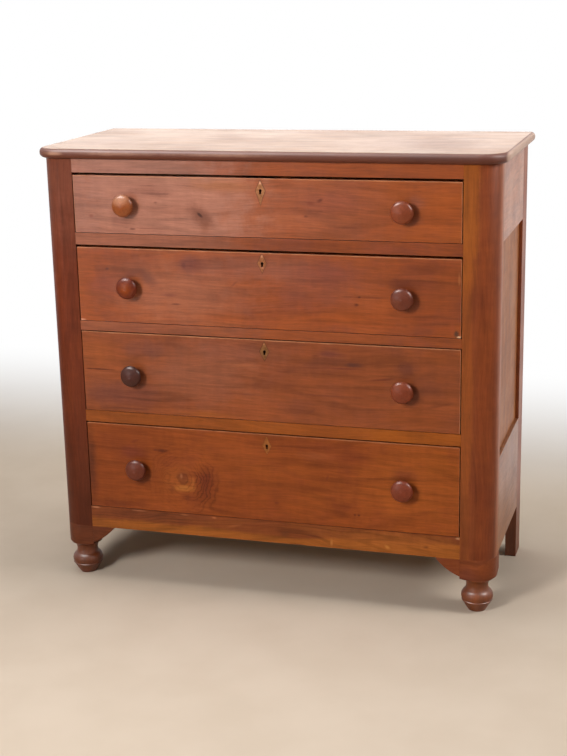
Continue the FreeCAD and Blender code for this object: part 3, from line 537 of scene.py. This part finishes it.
bottomFront = {
    "grain": "xzy", "seed": 5.0, "tones": ((142, 71, 29), (130, 63, 25), (102, 45, 21)),
    "flush": 0.36, "flushTone": (116, 52, 36), "glowTone": (150, 80, 28), "streaks": 0.2, "ior": 1.22,
    "arrises": (("z", 388, 2.8), ("x", 438, 1.2)), "edgeWearAndHighlight": 0.5,
    "plate": {"spot": 361, "rise": 22, "drop": 20, "half": 10.5, "tone": (100, 52, 24), "amount": 0.5},
    "knots": (
        {"spot": (-207, 264), "size": (100, 96), "rings": 9.0},
        {"spot": (-250, 268), "size": (30, 36), "rings": 3.0},
    ),
    "figured": (
        {"spot": (-152, 262), "size": (40, 72), "amount": 0.4},
        {"spot": (-205, 264), "size": (34, 30), "amount": 0.2},
        {"spot": (-248, 266), "size": (24, 40), "amount": 0.16},
    ),
    "patches": (
        {"spot": (340, 290), "size": (230, 150), "tone": (160, 84, 32), "amount": 0.7},
        {"spot": (-350, 290), "size": (190, 150), "tone": (122, 58, 25), "amount": 0.7},
        {"spot": (-214, 262), "size": (56, 46), "tone": (154, 84, 38), "amount": 0.5},
        {"spot": (-205, 270), "size": (24, 22), "tone": (132, 70, 36), "amount": 0.6},
        {"spot": (-203, 243), "size": (38, 11), "tone": (170, 102, 46), "amount": 0.9},
        {"spot": (-181, 258), "size": (9, 22), "tone": (158, 90, 42), "amount": 0.7},
        {"spot": (-60, 335), "size": (90, 40), "tone": (144, 72, 32), "amount": 0.55},
        {"spot": (395, 345), "size": (64, 46), "tone": (146, 76, 26), "amount": 0.75},
        {"spot": (110, 345), "size": (70, 14), "tone": (144, 78, 42), "amount": 0.5},
        {"spot": (200, 350), "size": (60, 40), "tone": (116, 52, 24), "amount": 0.5},
        {"spot": (-325, 322), "size": (48, 26), "tone": (108, 48, 38), "amount": 0.55},
        {"spot": (314, 312), "size": (40, 28), "tone": (104, 50, 38), "amount": 0.55},
        {"spot": (-434, 290), "size": (22, 130), "tone": (76, 38, 26), "amount": 0.7},
        {"spot": (-380, 190), "size": (110, 18), "tone": (94, 42, 28), "amount": 0.5},
    ),
    "stains": (
        {"spot": (-148, 260), "size": (36, 64), "lean": 10, "tone": (88, 34, 20), "amount": 0.7, "core": 0.0,
         "ragged": 0.35},
        {"spot": (-196, 220), "size": (16, 12), "tone": (92, 42, 24), "amount": 0.55},
        {"spot": (-232, 240), "size": (10, 12), "tone": (98, 46, 26), "amount": 0.45},
        {"spot": (-206, 271), "size": (19, 19), "tone": (96, 46, 28), "amount": 0.6},
        {"spot": (-254, 331), "size": (24, 7), "tone": (72, 30, 18), "amount": 0.8, "core": 0.15},
        {"spot": (-270, 332), "size": (9, 4), "tone": (92, 42, 30), "amount": 0.6},
        {"spot": (-209, 273), "size": (5, 10), "tone": (166, 104, 66), "amount": 0.6},
        {"spot": (-320, 350), "size": (18, 6), "lean": -20, "tone": (102, 46, 30), "amount": 0.5},
        {"spot": (203, 213), "size": (5, 4), "tone": (76, 34, 22), "amount": 0.75},
        {"spot": (212, 213), "size": (5, 4.5), "tone": (76, 34, 22), "amount": 0.75},
        {"spot": (20, 226), "size": (9, 5), "tone": (96, 42, 26), "amount": 0.6},
        {"spot": (140, 296), "size": (4, 12), "lean": 20, "tone": (104, 48, 28), "amount": 0.5},
        # dark halos beside both knobs: grime and painted shadow
        {"spot": (318, 276), "size": (40, 38), "tone": (84, 36, 24), "amount": 0.55},
        {"spot": (-314, 268), "size": (42, 36), "tone": (84, 38, 24), "amount": 0.45},
    ),
}
fronts = {"top_drawer": topFront, "second_drawer": secondFront, "third_drawer": thirdFront,
          "bottom_drawer": bottomFront}
for drawer, front in fronts.items():
    dress(drawer + "_front", wood(drawer + "Cherry", front))
    softenEdges(drawer + "_front", edgeLook["front"])

# rails between the drawers
railLook = {
    "top_rail": {
        "grain": "xzy", "seed": 6.0, "tones": ((150, 75, 36), (140, 68, 31), (110, 52, 28)),
        "flushTone": (128, 66, 46),
        "patches": (
            # pale pink patch at the left: faded wood and painted sheen
            {"spot": (-300, 985), "size": (330, 300), "tone": (152, 103, 87), "amount": 0.85, "core": 0.3},
        ),
    },
    "upper_divider": {
        "grain": "xzy", "seed": 7.0, "tones": ((142, 70, 31), (133, 63, 27), (104, 47, 24)),
        "patches": (
            # pale pink patch at the left: faded wood and painted sheen
            {"spot": (-300, 820), "size": (330, 300), "tone": (146, 90, 68), "amount": 0.7, "core": 0.3},
        ),
    },
    "middle_divider": {
        "grain": "xzy", "seed": 8.0, "tones": ((144, 72, 32), (135, 66, 28), (106, 49, 25)),
        "patches": (
            # pale pink patch at the left: faded wood and painted sheen
            {"spot": (-280, 620), "size": (320, 300), "tone": (142, 82, 58), "amount": 0.6, "core": 0.3},
        ),
    },
    "lower_divider": {
        "grain": "xzy", "seed": 9.0, "tones": ((146, 77, 27), (135, 69, 24), (108, 53, 24)),
        "flush": 0.15, "ior": 1.24,
        "patches": (
            {"spot": (-330, 404), "size": (230, 80), "tone": (124, 64, 27), "amount": 0.6},
            {"spot": (340, 404), "size": (190, 80), "tone": (162, 86, 24), "amount": 0.6},
        ),
    },
    "bottom_rail": {
        "grain": "xzy", "seed": 10.0, "tones": ((126, 64, 30), (116, 58, 27), (90, 44, 22)),
        "growth": 0.26, "lines": 21, "wander": 0.12, "flush": 0.15, "glow": 0.5, "glowTone": (140, 78, 30),
        "ior": 1.24,
        "sap": {"edge": 157, "slope": 0.018, "side": -1, "soft": 9, "wave": 16, "tone": (152, 86, 32),
                "amount": 0.9},
        "patches": (
            {"spot": (290, 156), "size": (210, 36), "tone": (162, 92, 38), "amount": 0.85},
            {"spot": (-440, 140), "size": (110, 24), "tone": (120, 66, 28), "amount": 0.7},
            {"spot": (-310, 168), "size": (230, 24), "tone": (98, 50, 29), "amount": 0.75},
        ),
        "stains": (
            # pale marks along the top arris: wear and painted highlight
            {"spot": (-428, 178), "size": (18, 3.4), "tone": (172, 112, 80), "amount": 0.8},
            {"spot": (-318, 178.5), "size": (24, 2.6), "tone": (160, 100, 70), "amount": 0.7},
            {"spot": (-205, 178), "size": (14, 2.6), "tone": (160, 98, 62), "amount": 0.7},
            {"spot": (-132, 177), "size": (9, 3), "tone": (176, 106, 66), "amount": 0.8},
            {"spot": (436, 178), "size": (9, 4), "tone": (190, 140, 100), "amount": 0.8},
            {"spot": (148, 141), "size": (5, 13), "tone": (182, 118, 60), "amount": 0.7},
            {"spot": (277, 143), "size": (10, 6), "lean": 30, "tone": (190, 124, 56), "amount": 0.7},
            {"spot": (-85, 161), "size": (26, 4), "lean": -14, "tone": (150, 88, 46), "amount": 0.5},
            {"spot": (38, 152), "size": (16, 9), "tone": (92, 52, 28), "amount": 0.55},
            {"spot": (365, 151), "size": (9, 5), "tone": (94, 44, 24), "amount": 0.65},
        ),
    },
}
for rail, look in railLook.items():
    dress(rail, wood(rail + "Cherry", look))
    softenEdges(rail, edgeLook["rail"])

# front posts, the left one darker
postLook = {
    "left_front_post": {
        "grain": "zxy", "seed": 11.0, "tones": ((106, 47, 25), (98, 42, 22), (78, 35, 20)),
        "flush": 0.2, "flushTone": (84, 38, 26), "glow": 0.1, "polish": 0.42, "ior": 1.19,
        "patches": (
            {"spot": (140,), "size": (420,), "plane": "z", "tone": (74, 35, 20), "amount": 0.75, "ragged": 0.4},
            # paler towards the top: painted sheen
            {"spot": (980,), "size": (260,), "plane": "z", "tone": (124, 70, 52), "amount": 0.65},
        ),
    },
    "right_front_post": {
        "grain": "zxy", "seed": 12.0, "tones": ((128, 62, 29), (118, 55, 26), (92, 43, 22)),
        "flush": 0.25, "flushTone": (112, 52, 30), "glow": 0.2, "polish": 0.4, "ior": 1.26,
        "sap": {"edge": 466, "slope": 0.0, "side": -1, "soft": 9, "wave": 6, "tone": (142, 74, 29),
                "amount": 0.8},
        "patches": (
            {"spot": (452, 960), "size": (30, 300), "tone": (158, 86, 30), "amount": 0.8, "core": 0.4},
            {"spot": (455, 170), "size": (30, 220), "tone": (116, 58, 27), "amount": 0.6},
            # pale strip at the right of the rounding: painted light from the right
            {"spot": (519,), "size": (9,), "plane": "x", "tone": (172, 108, 74), "amount": 0.8, "ragged": 0.3},
        ),
    },
}
for post, look in postLook.items():
    dress(post, wood(post + "Cherry", look))
    softenEdges(post, edgeLook["post"])

# stiles, rails and panels of the sides, and the blocks under the posts
sides = ("left_", "right_")
sideStep = 20  # step in the seed, so that the right piece is not the left one's twin
sideLook = {
    "rear_stile": {
        "grain": "zyx", "seed": 13.0, "tones": ((146, 80, 44), (134, 70, 38), (100, 50, 30)), "polish": 0.42,
        "patches": (
            # darker towards the floor: painted shade on the leg under the side
            {"spot": (40,), "size": (150,), "plane": "z", "tone": (112, 64, 42), "amount": 0.85, "core": 0.4},
        ),
    },
    "side_top_rail": {
        "grain": "yzx", "seed": 14.0, "tones": ((176, 112, 74), (162, 100, 66), (122, 72, 48)), "polish": 0.31,
    },
    "side_bottom_rail": {
        "grain": "yzx", "seed": 15.0, "tones": ((148, 94, 54), (136, 84, 48), (104, 61, 38)), "polish": 0.34,
    },
    "side_panel": {
        "grain": "zyx", "seed": 16.0, "tones": ((160, 96, 42), (146, 84, 35), (110, 60, 27)),
        "flushTone": (116, 70, 42), "polish": 0.44, "ior": 1.3, "curl": 0.06,
    },
    "foot_block": {
        "grain": "xzy", "seed": 17.0, "tones": ((126, 62, 30), (115, 56, 27), (90, 43, 22)),
        "polish": 0.4, "ior": 1.24,
        "patches": (
            {"spot": (-480,), "size": (140,), "plane": "x", "tone": (88, 43, 22), "amount": 0.9, "core": 0.5},
        ),
    },
}
bracketLook = {**sideLook["foot_block"], "seed": 18.0}
for piece, look in sideLook.items():
    for number, side in enumerate(sides):
        board = {**look, "seed": look["seed"] + number * sideStep}
        dress(side + piece, wood(side + piece + "Cherry", board))
        softenEdges(side + piece, edgeLook["side"])
dress("foot_brackets", wood("bracketCherry", bracketLook))
softenEdges("foot_brackets", edgeLook["side"])

# turned feet, the left one darker
footLook = {
    "grain": "zxy", "seed": 19.0, "tones": ((117, 60, 26), (103, 51, 21), (78, 37, 17)),
    "polish": 0.38, "uneven": 0.6, "relief": 0.2, "ior": 1.44,
    "patches": (
        {"spot": (-480,), "size": (140,), "plane": "x", "tone": (84, 41, 20), "amount": 0.5, "core": 0.5},
    ),
}
for number, side in enumerate(sides):
    look = {**footLook, "seed": footLook["seed"] + number * sideStep}
    dress(side + "turned_foot", wood(side + "footCherry", look))

# turned knobs, in pairs
knobLook = {
    "grain": "yxz", "seed": 21.0, "flush": 0.12, "glow": 0.12, "growth": 0.04, "curl": 0.01,
    "polish": 0.3, "uneven": 0.25, "relief": 0.15, "ior": 1.31,
}
knobShades = (1.08, 1.0, 0.78)  # pale, middle and dark wood, as parts of the right knob's tone
leftKnob = -314  # how far to the left of the middle they stand

# marks on the knobs: the left one's own tone, its rubbed middle, grime and painted shade in the necks, and one
# painted highlight over a top
wholeKnob = {"spot": (leftKnob,), "size": (60,), "plane": "x", "core": 0.7, "ragged": 0.0, "amount": 1.0}
knobMiddle = {"size": (20, 20), "ragged": 0.2, "amount": 0.9}
# grime and painted shade darken the necks, where the knobs meet the fronts
neckGrimeAndShade = {"spot": (-201,), "size": (22,), "plane": "y", "core": 0.35, "ragged": 0.1, "tone": (54, 26, 18),
             "amount": 0.75}
# painted highlight: a pale glow over the top of the top drawer's left knob
paintedGlowTop = {"spot": (-316, 917), "size": (30, 22), "ragged": 0.3, "tone": (190, 134, 104), "amount": 0.75}

# height of each pair, the right knob's tone, the left one's, and its rubbed middle
knobTones = {
    "top_drawer": (899.8, (122, 58, 34), (138, 74, 38), (140, 68, 24)),
    "second_drawer": (714.5, (100, 48, 32), (104, 40, 18), (142, 62, 8)),
    "third_drawer": (510.0, (116, 52, 30), (66, 34, 26), (72, 35, 28)),
    "bottom_drawer": (284.7, (114, 50, 29), (98, 44, 27), (102, 46, 28)),
}
for number, (drawer, (level, rightTone, leftTone, rubbed)) in enumerate(knobTones.items()):
    tones = [tuple(int(part * share) for part in rightTone) for share in knobShades]
    patches = [{**wholeKnob, "tone": leftTone}, {**knobMiddle, "spot": (leftKnob, level), "tone": rubbed}]
    if drawer == "top_drawer":  # its left knob has a painted highlight over its top
        patches.append(paintedGlowTop)
    look = {**knobLook, "seed": knobLook["seed"] + number, "tones": tones, "patches": patches + [neckGrimeAndShade]}
    dress(drawer + "_knobs", wood(drawer + "KnobCherry", look))

# poplar inside: drawer boxes, runners and back boards
poplarLook = {
    "seed": 30.0, "tones": ((186, 154, 112), (168, 136, 96), (128, 108, 78)), "flushTone": (150, 128, 92),
    "glowTone": (190, 160, 112), "streaks": 0.4, "curl": 0.015, "polish": 0.72, "ior": 1.3, "relief": 0.6,
}
boxGrain = {"left_side": "yzx", "right_side": "yzx", "back": "xzy", "bottom": "xyz"}
boxStep = 4  # step in the seed from drawer to drawer
runnerLook = {**poplarLook, "grain": "yzx", "seed": 52.0}
backLook = {**poplarLook, "grain": "xzy", "seed": 53.0}
for number, drawer in enumerate(fronts):
    for piece, grain in boxGrain.items():
        look = {**poplarLook, "grain": grain, "seed": poplarLook["seed"] + number * boxStep + len(piece)}
        dress(drawer + "_" + piece, wood(drawer + piece + "Poplar", look))
        if piece != "bottom":
            softenEdges(drawer + "_" + piece, edgeLook["box"])
dress("runners_and_kickers", wood("runnerPoplar", runnerLook))
dress("back_boards", wood("backPoplar", backLook))
print("wood finished")

# noises and finish of old metal
metalLook = {
    "patina": ((160, 160, 160), 5, 0.65, 0.35, 0.65), "speck": ((900, 900, 900), 2, 0.5, 0.55, 0.75),
    "patinaRough": 0.2, "speckDepth": 0.5, "relief": 0.3, "reliefDepth": 0.0002,
}


def metal(name, look):
    material = blankMaterial(name)
    tree = material.node_tree
    spot = put(tree, "ShaderNodeTexCoord").outputs["Object"]
    patina = layer(tree, spot, *metalLook["patina"])
    speck = layer(tree, spot, *metalLook["speck"])
    colour = tint(tree, patina, srgb(*look["bright"]), srgb(*look["dull"]))
    colour = wash(tree, colour, speck, look["specks"], look["speckTone"])
    colour = layMarks(tree, colour, spot, look["pinHeadsAndGlints"], centred(tree, patina))
    rough = calc(tree, "MULTIPLY_ADD", patina, metalLook["patinaRough"], look["rough"])
    height = calc(tree, "MULTIPLY_ADD", speck, -metalLook["speckDepth"], patina)
    finishSurface(tree, colour, rough, height, metalLook["relief"], metalLook["reliefDepth"], look["ior"],
                  look["metallic"])
    return material


# tarnished key plates, with bright pin heads at their tips, painted partly as highlight
brassLook = {"specks": 0.5, "speckTone": (84, 52, 34), "rough": 0.55, "metallic": 0.1, "ior": 1.22}
plateLook = {
    "top_drawer": {
        "bright": (168, 114, 76), "dull": (144, 94, 60),
        "pinHeadsAndGlints": (
            {"spot": (0, 954), "size": (4, 5), "ragged": 0.2, "tone": (226, 164, 132), "amount": 0.9},
        ),
    },
    "second_drawer": {
        "bright": (158, 100, 64), "dull": (134, 80, 50),
        "pinHeadsAndGlints": (
            {"spot": (0, 794), "size": (4, 5), "ragged": 0.2, "tone": (198, 138, 104), "amount": 0.85},
            {"spot": (1, 768.5), "size": (4.5, 4.5), "ragged": 0.2, "tone": (188, 122, 94), "amount": 0.85},
        ),
    },
    "third_drawer": {
        "bright": (136, 92, 54), "dull": (112, 72, 40),
        "pinHeadsAndGlints": (
            {"spot": (-1, 597), "size": (3.5, 3.5), "ragged": 0.2, "tone": (174, 112, 80), "amount": 0.7},
        ),
    },
    "bottom_drawer": {"bright": (150, 90, 42), "dull": (128, 74, 32), "pinHeadsAndGlints": ()},
}

# dark iron of the locks, bolts and nails
ironLook = {
    "bright": (92, 84, 78), "dull": (58, 50, 46), "specks": 0.6, "speckTone": (104, 60, 38), "pinHeadsAndGlints": (),
    "rough": 0.45, "metallic": 0.9, "ior": 1.5,
}
lockIron = metal("lockIron", ironLook)
for drawer, look in plateLook.items():
    dress(drawer + "_escutcheon", metal(drawer + "Brass", {**brassLook, **look}))
    dress(drawer + "_lock", lockIron)
    dress(drawer + "_lock_bolt", lockIron)
dress("back_nails", lockIron)
print("metal finished")
